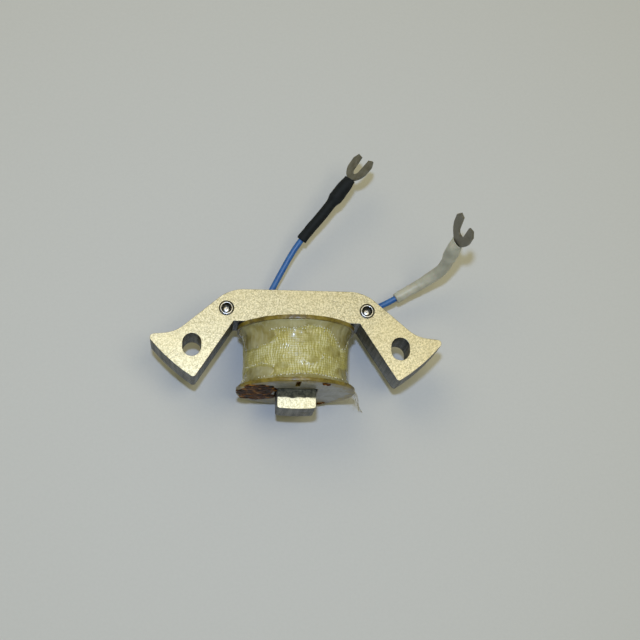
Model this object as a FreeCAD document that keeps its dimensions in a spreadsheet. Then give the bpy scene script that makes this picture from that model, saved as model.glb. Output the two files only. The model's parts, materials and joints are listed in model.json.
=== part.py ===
import FreeCAD, Part
import math
import os

import Sketcher
from FreeCAD import Placement, Rotation, Vector

# Ignition coil of a small engine: a riveted stack of E-shaped steel laminations with a taped coil on
# its centre leg and two short leads that end in fork terminals.
#
# Frame, in millimetres: the origin is midway between the two mounting slots, on the stack's underside,
# which is the mounting face. +Z runs through the stack, +X to the right wing, +Y away from the poles.

doc = FreeCAD.newDocument("IgnitionCoil")
sheet = doc.addObject("Spreadsheet::Sheet", "Dimensions")

DIMENSIONS = [
    # laminated core
    ("lamination_thickness", 0.6),
    ("pole_circle_radius", 68.7),      # all three pole faces lie on one circle about the crankshaft
    ("pole_circle_y", 46.0),
    ("leg_half_width", 6.9),
    ("bridge_front_y", 9.05),
    ("bridge_back_y", 21.0),
    ("window_half_width", 22.9),
    ("heel_x", 36.6),                  # inner corner of a wing's pole face
    ("shoulder_x", 24.3),              # sharp corner that the shoulder's arc rounds
    ("waist_x", 43.6),                 # sharp corner of the hollow behind the wing
    ("waist_y", 4.5),
    ("tip_x", 53.9),                   # sharp corner of the wing's tip
    ("shoulder_radius", 14.5),
    ("waist_radius", 12.0),
    ("tip_radius", 1.4),
    ("heel_radius", 1.2),
    ("pole_radius", 0.9),
    ("slot_x", 37.6),
    ("slot_width", 6.7),
    ("slot_length", 8.4),
    ("rivet_x", 25.5),
    ("rivet_y", 13.8),
    ("rivet_hole_radius", 2.4),
    # coil
    ("bobbin_clearance", 0.4),
    ("bobbin_wall", 0.8),
    ("flange_radius", 21.5),
    ("flange_thickness", 1.5),
    ("coil_front_y", -15.6),
    ("coil_back_y", 8.2),
    ("inner_winding_radius", 13.6),
    ("interlayer_radius", 14.2),
    ("outer_winding_radius", 17.8),
    ("cover_radius", 18.3),
    ("tape_waist_radius", 18.9),
    ("tape_edge_radius", 20.9),
    ("tape_flare_length", 4.4),
    ("slit_width", 1.5),
    ("slit_length", 9.0),
    ("slit_rim", 1.7),
    ("notch_width", 2.7),
    ("wedge_half_width", 4.8),
    ("wedge_thickness", 0.4),
    # leads and terminals
    ("lead_diameter", 2.3),
    ("conductor_diameter", 1.2),
    ("splice_diameter", 1.5),
    ("splice_length", 5.5),
    ("splice_sleeve_diameter", 2.9),
    ("splice_sleeve_overlap", 2.0),
    ("barrel_diameter", 3.6),
    ("barrel_bore", 1.4),
    ("barrel_length", 9.5),
    ("barrel_closed_end", 1.5),
    ("conductor_gap", 4.0),            # between the bare strands' end and the sleeve's mouth
    ("plate_thickness", 0.8),
    ("tongue_half_width", 1.75),
    ("tongue_length", 0.1),            # from the sleeve's mouth to where the fork widens
    ("collar_length", 0.4),
    ("collar_half_width", 2.5),
    ("shoulder_bulge", 0.55),          # how far the shoulder's arc swells beyond its chord
    ("fork_half_width", 5.6),
    ("fork_slot_radius", 1.85),
    ("fork_slot_flare", 0.5),          # how far each side of the slot opens out at the tips
    ("fork_slot_reach", 4.0),          # from the right sleeve's mouth to the slot's bottom
    ("fork_reach", 11.7),              # from the right sleeve's mouth to the tips
    ("fork_lean", 0.25),               # how far a tine leans out
    ("tip_bevel_length", 2.2),
    ("tip_bevel_depth", 1.1),
    ("tip_setback", 0.5),              # how far the tine's inner corner stops short of its tip
]

for row, (alias, value) in enumerate(DIMENSIONS, start=1):
    sheet.set("A%d" % row, alias)
    sheet.set("B%d" % row, "%g" % value)
    sheet.setAlias("B%d" % row, alias)
doc.recompute()

LAMINATION_COUNT = 24


def dim(alias):
    return float(getattr(sheet, alias))


def bind(obj, **expressions):
    for prop, expression in expressions.items():
        obj.setExpression(prop.replace("__", "."), expression)


def cell(alias):
    return "Dimensions." + alias


STACK_HEIGHT = LAMINATION_COUNT * dim("lamination_thickness")
COIL_AXIS_Z = STACK_HEIGHT / 2
COIL_AXIS_Z_CELLS = "%d * %s / 2" % (LAMINATION_COUNT, cell("lamination_thickness"))
parts = []


def keep(obj, label):
    """Name a finished sub-part and list it for export."""
    obj.Label = label
    parts.append(obj)
    return obj


def origin_plane(body, role):
    return [f for f in body.Origin.OriginFeatures if f.Role == role][0]


def new_sketch(body, name, role):
    sketch = body.newObject("Sketcher::SketchObject", name)
    sketch.AttachmentSupport = [(origin_plane(body, role), "")]
    sketch.MapMode = "FlatFace"
    return sketch


def flat(x, y):
    return Vector(x, y, 0)


def polyline(points):
    """Closed outline of straight edges."""
    following = points[1:] + points[:1]
    return [Part.LineSegment(start, end) for start, end in zip(points, following)]


# --------------------------------------------------------------------------- laminated core
def pole_face_y(x):
    """Front of the pole circle at x."""
    return dim("pole_circle_y") - math.sqrt(dim("pole_circle_radius") ** 2 - x ** 2)


def on_pole_circle(x):
    return flat(x, pole_face_y(x))


def core_corners():
    """Sharp corners of the right half, from the centre pole round to the bridge's back edge."""
    return {
        "pole": on_pole_circle(dim("leg_half_width")),
        "leg_root": flat(dim("leg_half_width"), dim("bridge_front_y")),
        "window": flat(dim("window_half_width"), dim("bridge_front_y")),
        "heel": on_pole_circle(dim("heel_x")),
        "tip": on_pole_circle(dim("tip_x")),
        "waist": flat(dim("waist_x"), dim("waist_y")),
        "shoulder": flat(dim("shoulder_x"), dim("bridge_back_y")),
    }


def mirrored(point):
    return flat(-point.x, point.y)


def core_outline():
    corner = core_corners()
    half = [corner[name] for name in ("pole", "leg_root", "window", "heel")]
    back = [corner[name] for name in ("tip", "waist", "shoulder")]
    edges = []
    for side in (lambda p: p, mirrored):
        for chain in (half, back):
            for start, end in zip(chain, chain[1:]):
                edges.append(Part.LineSegment(side(start), side(end)))
        middle = on_pole_circle((dim("heel_x") + dim("tip_x")) / 2)
        edges.append(Part.Arc(side(corner["heel"]), side(middle), side(corner["tip"])))
    edges.append(Part.LineSegment(corner["shoulder"], mirrored(corner["shoulder"])))
    edges.append(Part.Arc(mirrored(corner["pole"]), on_pole_circle(0), corner["pole"]))
    return edges


def slot_outline(x):
    """A slot along Y, centred at (x, 0)."""
    radius = dim("slot_width") / 2
    reach = dim("slot_length") / 2
    straight = reach - radius
    return [
        Part.LineSegment(flat(x + radius, -straight), flat(x + radius, straight)),
        Part.Arc(flat(x + radius, straight), flat(x, reach), flat(x - radius, straight)),
        Part.LineSegment(flat(x - radius, straight), flat(x - radius, -straight)),
        Part.Arc(flat(x - radius, -straight), flat(x, -reach), flat(x + radius, -straight)),
    ]


def upright_edges(shape, corner):
    """Names of the edges that stand on a corner and on its mirror image."""
    names = []
    for number, edge in enumerate(shape.Edges, start=1):
        ends = [vertex.Point for vertex in edge.Vertexes]
        if len(ends) != 2:
            continue
        for spot in (corner, mirrored(corner)):
            if all(math.hypot(p.x - spot.x, p.y - spot.y) < 0.01 for p in ends):
                names.append("Edge%d" % number)
    return names


def round_corners(body, name, corner, radius_cell):
    base = body.Tip
    fillet = body.newObject("PartDesign::Fillet", name)
    fillet.Base = (base, upright_edges(base.Shape, corner))
    bind(fillet, Radius=cell(radius_cell))
    body.Tip = fillet
    doc.recompute()


def make_lamination(number):
    body = doc.addObject("PartDesign::Body", "Lamination%02d" % number)
    sketch = new_sketch(body, "LaminationOutline%02d" % number, "XY_Plane")
    sketch.addGeometry(core_outline(), False)
    for side in (1, -1):
        sketch.addGeometry(slot_outline(side * dim("slot_x")), False)
        centre = flat(side * dim("rivet_x"), dim("rivet_y"))
        hole = sketch.addGeometry(Part.Circle(centre, Vector(0, 0, 1), dim("rivet_hole_radius")), False)
        limit = sketch.addConstraint(Sketcher.Constraint("Radius", hole, dim("rivet_hole_radius")))
        sketch.setExpression("Constraints[%d]" % limit, cell("rivet_hole_radius"))
    pad = body.newObject("PartDesign::Pad", "LaminationPad%02d" % number)
    pad.Profile = sketch
    bind(pad, Length=cell("lamination_thickness"))
    doc.recompute()
    corner = core_corners()
    for name in ("shoulder", "waist", "tip", "heel", "pole"):
        round_corners(body, "%s%02d" % (name.title(), number), corner[name], name + "_radius")
    bind(body, Placement__Base__z="%d * %s" % (number - 1, cell("lamination_thickness")))
    return keep(body, "lamination_%02d" % number)


def revolved_body(name, points, role, axis):
    """A body turned from a closed half profile about its sketch's own axis."""
    body = doc.addObject("PartDesign::Body", name)
    sketch = new_sketch(body, name + "Profile", role)
    sketch.addGeometry(points, False)
    turn = body.newObject("PartDesign::Revolution", name + "Turn")
    turn.Profile = sketch
    turn.ReferenceAxis = (sketch, [axis])
    turn.Angle = 360
    return body


def make_rivet(label, side):
    """Tubular rivet: a shank in the stack's hole, a flat head below and a rolled rim above."""
    shank = dim("rivet_hole_radius")
    bore = 1.75
    rim_radius = 2.8
    rim_height = 0.35
    rim_crest = 2.2
    head_radius = 3.4
    head_height = 0.7
    floor = 2.2
    cone_depth = 0.8
    top = STACK_HEIGHT
    profile = polyline([
        flat(0, -head_height), flat(head_radius, -head_height), flat(head_radius, 0), flat(shank, 0),
        flat(shank, top), flat(rim_radius, top), flat(rim_crest, top + rim_height), flat(bore, top),
        flat(bore, floor + cone_depth), flat(0, floor),
    ])
    body = revolved_body("Rivet" + label.title().replace("_", ""), profile, "XZ_Plane", "V_Axis")
    bind(body, Placement__Base__x="%d * %s" % (side, cell("rivet_x")),
         Placement__Base__y=cell("rivet_y"))
    return keep(body, label)


# --------------------------------------------------------------------------- coil
def cylinder_along_y(name, radius, start, end):
    """Cylinder on the coil's axis. radius, start and end are expressions."""
    solid = doc.addObject("Part::Cylinder", name)
    bind(solid, Radius=radius, Height="(%s) - (%s)" % (end, start))
    solid.Placement = Placement(Vector(0, 0, 0), Rotation(Vector(1, 0, 0), -90))
    bind(solid, Placement__Base__y=start, Placement__Base__z=COIL_AXIS_Z_CELLS)
    return solid


def box_about_axis(name, half_width, half_height, start, end):
    """Box centred on the coil's axis. All sizes are expressions."""
    solid = doc.addObject("Part::Box", name)
    bind(solid, Length="2 * (%s)" % half_width, Width="(%s) - (%s)" % (end, start),
         Height="2 * (%s)" % half_height)
    bind(solid, Placement__Base__x="-(%s)" % half_width, Placement__Base__y=start,
         Placement__Base__z="%s - (%s)" % (COIL_AXIS_Z_CELLS, half_height))
    return solid


def cut(name, base, *tools):
    tool = tools[0]
    if len(tools) > 1:
        tool = doc.addObject("Part::MultiFuse", name + "Tools")
        tool.Shapes = list(tools)
    result = doc.addObject("Part::Cut", name)
    result.Base = base
    result.Tool = tool
    return result


LEG_HALF_X = cell("leg_half_width")
LEG_HALF_Z = COIL_AXIS_Z_CELLS
HOLE_HALF_X = "%s + %s" % (LEG_HALF_X, cell("bobbin_clearance"))
HOLE_HALF_Z = "%s + %s" % (LEG_HALF_Z, cell("bobbin_clearance"))
TUBE_HALF_X = "%s + %s" % (HOLE_HALF_X, cell("bobbin_wall"))
TUBE_HALF_Z = "%s + %s" % (HOLE_HALF_Z, cell("bobbin_wall"))
COIL_FRONT = cell("coil_front_y")
COIL_BACK = cell("coil_back_y")
WINDING_FRONT = "%s + %s" % (COIL_FRONT, cell("flange_thickness"))
WINDING_BACK = "%s - %s" % (COIL_BACK, cell("flange_thickness"))
OVERSHOOT = "1"
BEYOND_FRONT = "%s - %s" % (COIL_FRONT, OVERSHOOT)
BEYOND_BACK = "%s + %s" % (COIL_BACK, OVERSHOOT)
THROUGH_FLANGE = "%s + 2 * %s" % (cell("flange_thickness"), OVERSHOOT)


def make_bobbin_tube():
    outer = box_about_axis("TubeOuter", TUBE_HALF_X, TUBE_HALF_Z, WINDING_FRONT, WINDING_BACK)
    inner = box_about_axis("TubeInner", HOLE_HALF_X, HOLE_HALF_Z, BEYOND_FRONT, BEYOND_BACK)
    return keep(cut("BobbinTube", outer, inner), "bobbin_tube")


def make_front_flange():
    disc = cylinder_along_y("FrontDisc", cell("flange_radius"), COIL_FRONT, WINDING_FRONT)
    hole = box_about_axis("FrontHole", HOLE_HALF_X, HOLE_HALF_Z, BEYOND_FRONT, BEYOND_BACK)
    slit = doc.addObject("Part::Box", "FrontSlit")
    bind(slit, Length=cell("slit_width"), Width=THROUGH_FLANGE, Height=cell("slit_length"))
    bind(slit, Placement__Base__x="-%s / 2" % cell("slit_width"), Placement__Base__y=BEYOND_FRONT,
         Placement__Base__z="%s + %s - %s - %s" % (COIL_AXIS_Z_CELLS, cell("flange_radius"),
                                                  cell("slit_rim"), cell("slit_length")))
    return keep(cut("FrontFlange", disc, hole, slit), "front_flange")


def make_rear_flange(lead_axes):
    """The rear flange has a notch in its rim for each lead."""
    disc = cylinder_along_y("RearDisc", cell("flange_radius"), WINDING_BACK, COIL_BACK)
    hole = box_about_axis("RearHole", HOLE_HALF_X, HOLE_HALF_Z, BEYOND_FRONT, BEYOND_BACK)
    notches = []
    for side, (start, direction) in lead_axes.items():
        middle_y = dim("coil_back_y") - dim("flange_thickness") / 2
        crossing = start + direction * ((middle_y - start.y) / direction.y)
        angle = math.degrees(math.atan2(crossing.x, crossing.z - COIL_AXIS_Z))
        notch = doc.addObject("Part::Box", "Notch" + side.title())
        bind(notch, Length=cell("notch_width"), Width=THROUGH_FLANGE, Height=cell("flange_radius"))
        inner = math.hypot(crossing.x, crossing.z - COIL_AXIS_Z) - dim("notch_width") / 2
        turn = Rotation(Vector(0, 1, 0), angle)
        corner = turn.multVec(Vector(-dim("notch_width") / 2, 0, inner))
        front_y = dim("coil_back_y") - dim("flange_thickness") - float(OVERSHOOT)
        notch.Placement = Placement(corner + Vector(0, front_y, COIL_AXIS_Z), turn)
        notches.append(notch)
    return keep(cut("RearFlange", disc, hole, *notches), "rear_flange")


def winding_layer(name, label, outer, inner, *pockets):
    """One layer between the flanges. inner is None for the layer that sits on the square tube."""
    solid = cylinder_along_y(name + "Outer", outer, WINDING_FRONT, WINDING_BACK)
    if inner is None:
        core = box_about_axis(name + "Core", TUBE_HALF_X, TUBE_HALF_Z, BEYOND_FRONT, BEYOND_BACK)
    else:
        core = cylinder_along_y(name + "Core", inner, BEYOND_FRONT, BEYOND_BACK)
    return keep(cut(name, solid, core, *pockets), label)


def make_tape_wrap(*pockets):
    """Glass-cloth tape over the coil, drawn in at the middle and flared up against both flanges."""
    front = dim("coil_front_y") + dim("flange_thickness")
    back = dim("coil_back_y") - dim("flange_thickness")
    inner = dim("cover_radius")
    waist = dim("tape_waist_radius")
    edge = dim("tape_edge_radius")
    flare = dim("tape_flare_length")
    rise = edge - waist
    arc_radius = (rise ** 2 + flare ** 2) / (2 * rise)
    half_turn = math.asin(flare / arc_radius) / 2
    bulge = flat(waist + arc_radius * (1 - math.cos(half_turn)), arc_radius * math.sin(half_turn))
    profile = [
        Part.LineSegment(flat(inner, front), flat(edge, front)),
        Part.Arc(flat(edge, front), flat(bulge.x, front + flare - bulge.y), flat(waist, front + flare)),
        Part.LineSegment(flat(waist, front + flare), flat(waist, back - flare)),
        Part.Arc(flat(waist, back - flare), flat(bulge.x, back - flare + bulge.y), flat(edge, back)),
        Part.LineSegment(flat(edge, back), flat(inner, back)),
        Part.LineSegment(flat(inner, back), flat(inner, front)),
    ]
    body = revolved_body("TapeForm", profile, "XY_Plane", "V_Axis")
    bind(body, Placement__Base__z=COIL_AXIS_Z_CELLS)
    return keep(cut("TapeWrap", body, *pockets), "tape_wrap")


def make_wedge():
    """Fibre wedge under the centre leg that stops the coil from sliding off."""
    wedge = doc.addObject("Part::Box", "CoilWedge")
    bind(wedge, Length="2 * %s" % cell("wedge_half_width"), Height=cell("wedge_thickness"),
         Width="(%s) - (%s)" % (WINDING_BACK, COIL_FRONT))
    bind(wedge, Placement__Base__x="-%s" % cell("wedge_half_width"), Placement__Base__y=COIL_FRONT,
         Placement__Base__z="-%s" % cell("wedge_thickness"))
    return keep(wedge, "coil_wedge")


# --------------------------------------------------------------------------- leads
# Each route starts under the tape, leaves through its notch in the rear flange, passes under the
# bridge and ends at its terminal's barrel.
ROUTES = {
    "left": [
        Vector(-14.9, 1.0, -2.3), Vector(-16.2, 9.2, -3.9), Vector(-13.0, 17.6, -5.2),
        Vector(-8.8, 25.6, -5.7), Vector(-4.6, 33.9, -4.9), Vector(-0.1, 42.2, -3.2),
        Vector(5.1, 49.0, -0.6), Vector(10.3, 54.7, 1.7), Vector(14.9, 60.7, 3.7),
    ],
    "right": [
        Vector(14.9, 1.0, -2.3), Vector(16.7, 8.3, -3.6), Vector(21.6, 15.0, -4.2),
        Vector(28.3, 18.9, -4.1), Vector(35.4, 22.1, -3.8), Vector(41.5, 25.7, -3.2),
        Vector(47.1, 28.8, -1.7), Vector(52.0, 31.5, 1.3), Vector(55.6, 33.2, 6.2),
        Vector(56.6, 35.6, 12.8),
    ],
}
SLEEVE_RUN = {"left": 5, "right": 4}            # the sleeve starts midway along this run
SLEEVES = {                                    # label, diameter on the lead, diameter on the barrel
    "left": ("heat_shrink_sleeve", 3.9, 5.2),
    "right": ("marker_sleeve", 4.0, 5.6),
}
FORK_WIDTH_DIRECTION = {
    "left": Vector(0.49, -0.57, 0.66),
    "right": Vector(0.38, -0.89, 0.22),
}
FORK_SETBACK = {"left": 1.6, "right": 0.0}     # how much further a sleeve reaches over its fork
SLEEVE_CONE = 3.0                              # length over which a sleeve swells up to the barrel
ARC_SHARE = 0.45                               # share of the shorter run that an arc takes up


def unit(vector):
    return Vector(vector) / vector.Length


def arc_setbacks(points):
    """How far from each inner point its tangent arc starts."""
    setbacks = [0.0]
    for before, here, after in zip(points, points[1:], points[2:]):
        setbacks.append(ARC_SHARE * min((here - before).Length, (after - here).Length))
    return setbacks + [0.0]


def route_edges(points, setbacks):
    """Straight runs joined by tangent arcs."""
    edges = []
    start = points[0]
    for index in range(1, len(points) - 1):
        here = points[index]
        arriving = unit(here - points[index - 1])
        leaving = unit(points[index + 1] - here)
        enter = here - arriving * setbacks[index]
        leave = here + leaving * setbacks[index]
        half_turn = arriving.getAngle(leaving) / 2
        sag = setbacks[index] * (1 / math.cos(half_turn) - 1) / math.tan(half_turn)
        middle = here + unit(leaving - arriving) * sag
        edges.append(Part.LineSegment(start, enter).toShape())
        edges.append(Part.Arc(enter, middle, leave).toShape())
        start = leave
    edges.append(Part.LineSegment(start, points[-1]).toShape())
    return edges


def arc_radii(points, setbacks):
    radii = []
    for index in range(1, len(points) - 1):
        turn = (points[index] - points[index - 1]).getAngle(points[index + 1] - points[index])
        radii.append(setbacks[index] / math.tan(turn / 2))
    return radii


def tube_along(edges, diameter):
    """Round solid swept along a chain of edges."""
    wire = Part.Wire(edges)
    first = edges[0]
    start = first.valueAt(first.FirstParameter)
    heading = first.tangentAt(first.FirstParameter)
    section = Part.Wire([Part.Circle(start, heading, diameter / 2).toShape()])
    return wire.makePipeShell([section], True, True), wire.Length


def feature(name, label, shape):
    solid = doc.addObject("Part::Feature", name)
    solid.Shape = shape
    solid.Placement = Placement()
    return keep(solid, label)


def rod(start, direction, diameter, length):
    return Part.makeCylinder(diameter / 2, length, start, direction)


def make_lead(side):
    points = ROUTES[side]
    setbacks = arc_setbacks(points)
    shape, length = tube_along(route_edges(points, setbacks), dim("lead_diameter"))
    expected = math.pi / 4 * dim("lead_diameter") ** 2 * length
    radii = ", ".join("%.1f" % r for r in arc_radii(points, setbacks))
    print("lead_%s: %.1f mm long, volume is %.4f of section times length, radii %s"
          % (side, length, shape.Volume / expected, radii))
    return feature("Lead" + side.title(), "lead_" + side, shape)


def make_splice(side, start, direction):
    """Soldered joint between the winding's end and the lead, and the sleeving slipped over it."""
    length = dim("splice_length")
    joint = rod(start - direction * length, direction, dim("splice_diameter"), length)
    whole = length + dim("splice_sleeve_overlap")
    outside = rod(start - direction * length, direction, dim("splice_sleeve_diameter"), whole)
    bore = rod(start - direction * (length + 1), direction, dim("lead_diameter"), whole + 2)
    feature("Splice" + side.title(), "splice_" + side, joint)
    feature("SpliceSleeve" + side.title(), "splice_sleeve_" + side, outside.cut(bore))
    pocket = doc.addObject("Part::Feature", "SplicePocket" + side.title())
    pocket.Shape = outside
    return pocket


def fork_outline(side):
    """Flat plate of the terminal, from inside the barrel to the tips of its two tines."""
    mouth = dim("barrel_length")
    root = mouth - 2 * dim("barrel_closed_end")
    tongue = dim("tongue_half_width")
    collar = flat(mouth + dim("collar_length"), dim("collar_half_width"))
    slot = dim("fork_slot_radius")
    slot_centre = mouth + dim("fork_slot_reach") - FORK_SETBACK[side] + slot
    hip = flat(slot_centre, dim("fork_half_width"))
    tips = mouth + dim("fork_reach") - FORK_SETBACK[side]
    corners = {
        "root": flat(root, tongue),
        "neck": flat(mouth + dim("tongue_length"), tongue),
        "collar": collar,
        "shoulder": (collar + hip) / 2 + flat(0, dim("shoulder_bulge")),
        "hip": hip,
        "bevel": flat(tips - dim("tip_bevel_length"), hip.y + dim("fork_lean")),
        "tip": flat(tips, hip.y - dim("tip_bevel_depth")),
        "inside": flat(tips - dim("tip_setback"), slot + dim("fork_slot_flare")),
        "slot": flat(slot_centre, slot),
    }
    half = [Part.LineSegment(corners["root"], corners["neck"]),
            Part.LineSegment(corners["neck"], corners["collar"]),
            Part.Arc(corners["collar"], corners["shoulder"], corners["hip"])]
    straight = [corners[name] for name in ("hip", "bevel", "tip", "inside", "slot")]
    half += [Part.LineSegment(start, end) for start, end in zip(straight, straight[1:])]
    outline = list(half)
    for edge in half:
        opposite = edge.copy()
        opposite.mirror(Vector(0, 0, 0), Vector(1, 0, 0))
        outline.append(opposite)
    outline.append(Part.Arc(flat(slot_centre, slot), flat(slot_centre - slot, 0), flat(slot_centre, -slot)))
    outline.append(Part.LineSegment(flat(root, tongue), flat(root, -tongue)))
    return outline


def make_terminal(side, start, direction):
    """Fork terminal: a tubular barrel that closes to a flat plate with two tines."""
    name = "Fork" + side.title()
    body = doc.addObject("PartDesign::Body", name)
    barrel = new_sketch(body, name + "BarrelCircle", "YZ_Plane")
    barrel.addGeometry(Part.Circle(Vector(0, 0, 0), Vector(0, 0, 1), dim("barrel_diameter") / 2), False)
    barrel_pad = body.newObject("PartDesign::Pad", name + "Barrel")
    barrel_pad.Profile = barrel
    bind(barrel_pad, Length="%s - %s" % (cell("barrel_length"), cell("barrel_closed_end")))
    doc.recompute()
    bore = new_sketch(body, name + "BoreCircle", "YZ_Plane")
    bore.addGeometry(Part.Circle(Vector(0, 0, 0), Vector(0, 0, 1), dim("barrel_bore") / 2), False)
    pocket = body.newObject("PartDesign::Pocket", name + "Bore")
    pocket.Profile = bore
    pocket.Reversed = True
    bind(pocket, Length="%s - 2 * %s" % (cell("barrel_length"), cell("barrel_closed_end")))
    doc.recompute()
    plate = new_sketch(body, name + "PlateOutline", "XY_Plane")
    plate.addGeometry(fork_outline(side), False)
    plate_pad = body.newObject("PartDesign::Pad", name + "Plate")
    plate_pad.Profile = plate
    plate_pad.Midplane = True
    bind(plate_pad, Length=cell("plate_thickness"))
    across = FORK_WIDTH_DIRECTION[side]
    across = unit(across - direction * across.dot(direction))
    body.Placement = Placement(start, Rotation(direction, across, direction.cross(across), "XYZ"))
    doc.recompute()
    return keep(body, "fork_terminal_" + side)


def make_sleeve(side, lead, start, direction):
    """Shrunk sleeve that runs from midway along the lead up and over the terminal's barrel."""
    label, narrow, wide = SLEEVES[side]
    points = ROUTES[side]
    setbacks = arc_setbacks(points)
    run = SLEEVE_RUN[side]
    midway = (points[run] + points[run + 1]) / 2
    skin, _ = tube_along(route_edges([midway] + points[run + 1:], [0.0] + setbacks[run + 1:]), narrow)
    base = start - direction * SLEEVE_CONE
    cone = Part.makeCone(narrow / 2, wide / 2, SLEEVE_CONE, base, direction)
    cap = rod(start, direction, wide, dim("barrel_length"))
    socket = rod(start, direction, dim("barrel_diameter"), dim("barrel_length") + 1)
    shape = skin.fuse([cone, cap]).cut(lead.Shape).cut(socket)
    return feature(label.title().replace("_", ""), label, shape.removeSplitter())


def make_conductor_end(side, start, direction):
    """Bare strands in the terminal's barrel."""
    length = dim("barrel_length") - dim("conductor_gap")
    return feature("ConductorEnd" + side.title(), "conductor_end_" + side,
                   rod(start, direction, dim("conductor_diameter"), length))


# --------------------------------------------------------------------------- build
for number in range(1, LAMINATION_COUNT + 1):
    make_lamination(number)
make_rivet("rivet_left", -1)
make_rivet("rivet_right", 1)

lead_axes = {side: (points[0], unit(points[1] - points[0])) for side, points in ROUTES.items()}
pockets = []
for side, (start, direction) in lead_axes.items():
    lead = make_lead(side)
    pockets += [make_splice(side, start, direction), lead]
    end = ROUTES[side][-1]
    heading = unit(end - ROUTES[side][-2])
    make_terminal(side, end, heading)
    make_sleeve(side, lead, end, heading)
    make_conductor_end(side, end, heading)

make_bobbin_tube()
make_front_flange()
make_rear_flange(lead_axes)
make_wedge()
winding_layer("InnerWinding", "inner_winding", cell("inner_winding_radius"), None)
winding_layer("Interlayer", "interlayer_insulation", cell("interlayer_radius"),
              cell("inner_winding_radius"))
winding_layer("OuterWinding", "outer_winding", cell("outer_winding_radius"),
              cell("interlayer_radius"), *pockets)
winding_layer("WindingCover", "winding_cover", cell("cover_radius"),
              cell("outer_winding_radius"), *pockets)
make_tape_wrap(*pockets)
doc.recompute()

# --------------------------------------------------------------------------- check and export
for obj in doc.Objects:
    faults = [state for state in obj.State if state in ("Invalid", "Error")]
    if faults:
        raise RuntimeError("%s is %s" % (obj.Label, faults))

os.makedirs("parts", exist_ok=True)
for part in parts:
    shape = part.Shape
    if shape.isNull() or not shape.isValid() or not shape.Solids:
        raise RuntimeError("%s has no valid solid" % part.Label)
    shape.exportStep("parts/%s.step" % part.Label)
print("%d sub-parts written" % len(parts))
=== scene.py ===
"""Looks of the ignition coil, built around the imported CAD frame. Lengths are in metres, as in the frame."""
import json
import math
import random

import bmesh
import bpy
from mathutils import Euler, Matrix, Vector, noise


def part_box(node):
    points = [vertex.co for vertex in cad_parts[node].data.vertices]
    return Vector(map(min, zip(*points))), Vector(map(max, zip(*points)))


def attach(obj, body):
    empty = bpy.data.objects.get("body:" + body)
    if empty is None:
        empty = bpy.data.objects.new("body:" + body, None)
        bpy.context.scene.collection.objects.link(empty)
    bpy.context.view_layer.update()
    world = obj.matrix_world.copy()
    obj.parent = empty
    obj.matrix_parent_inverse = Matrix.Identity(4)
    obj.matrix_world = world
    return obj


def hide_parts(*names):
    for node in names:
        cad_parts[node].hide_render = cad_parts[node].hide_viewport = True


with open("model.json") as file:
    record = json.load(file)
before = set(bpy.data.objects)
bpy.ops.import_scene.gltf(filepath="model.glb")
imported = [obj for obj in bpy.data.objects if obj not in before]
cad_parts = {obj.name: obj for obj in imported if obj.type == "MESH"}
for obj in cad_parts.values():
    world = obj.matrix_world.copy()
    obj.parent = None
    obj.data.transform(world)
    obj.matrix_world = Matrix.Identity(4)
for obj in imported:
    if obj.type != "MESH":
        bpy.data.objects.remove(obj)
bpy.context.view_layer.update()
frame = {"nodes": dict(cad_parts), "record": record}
MM = 0.001
BODY = "root"
scene = bpy.context.scene


# ------------------------------------------------------------------ frame
def low(node):
    return Vector(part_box(node)[0])


def high(node):
    return Vector(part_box(node)[1])


LAMINATIONS = sorted(name for name in frame["nodes"] if name.startswith("lamination_"))
STACK_TOP = high(LAMINATIONS[-1]).z
COIL_Z = (low("front_flange").z + high("front_flange").z) / 2
FLANGE_RADIUS = (high("front_flange").z - low("front_flange").z) / 2
FRONT_FACE_Y = low("front_flange").y
FLOOR_Z = COIL_Z - FLANGE_RADIUS


# ------------------------------------------------------------------ camera
CAMERA_PLACE = (-32.5, -111.0, 466.5)         # in mm
CAMERA_TURN = (14.934, -5.165, 0.034)         # in degrees about X, Y and Z; zero looks straight down
CAMERA_LENS = 73.1                            # in mm, behind a sensor 36 mm wide


def add_camera():
    """Nearly overhead, leaning a little towards the poles and the left wing."""
    data = bpy.data.cameras.new("camera")
    data.sensor_width = 36
    data.lens = CAMERA_LENS
    data.clip_start = 0.01
    data.clip_end = 10
    camera = bpy.data.objects.new("camera", data)
    turn = Euler([math.radians(angle) for angle in CAMERA_TURN])
    camera.matrix_world = Matrix.LocRotScale(Vector(CAMERA_PLACE) * MM, turn, None)
    scene.collection.objects.link(camera)
    scene.camera = camera


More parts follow.
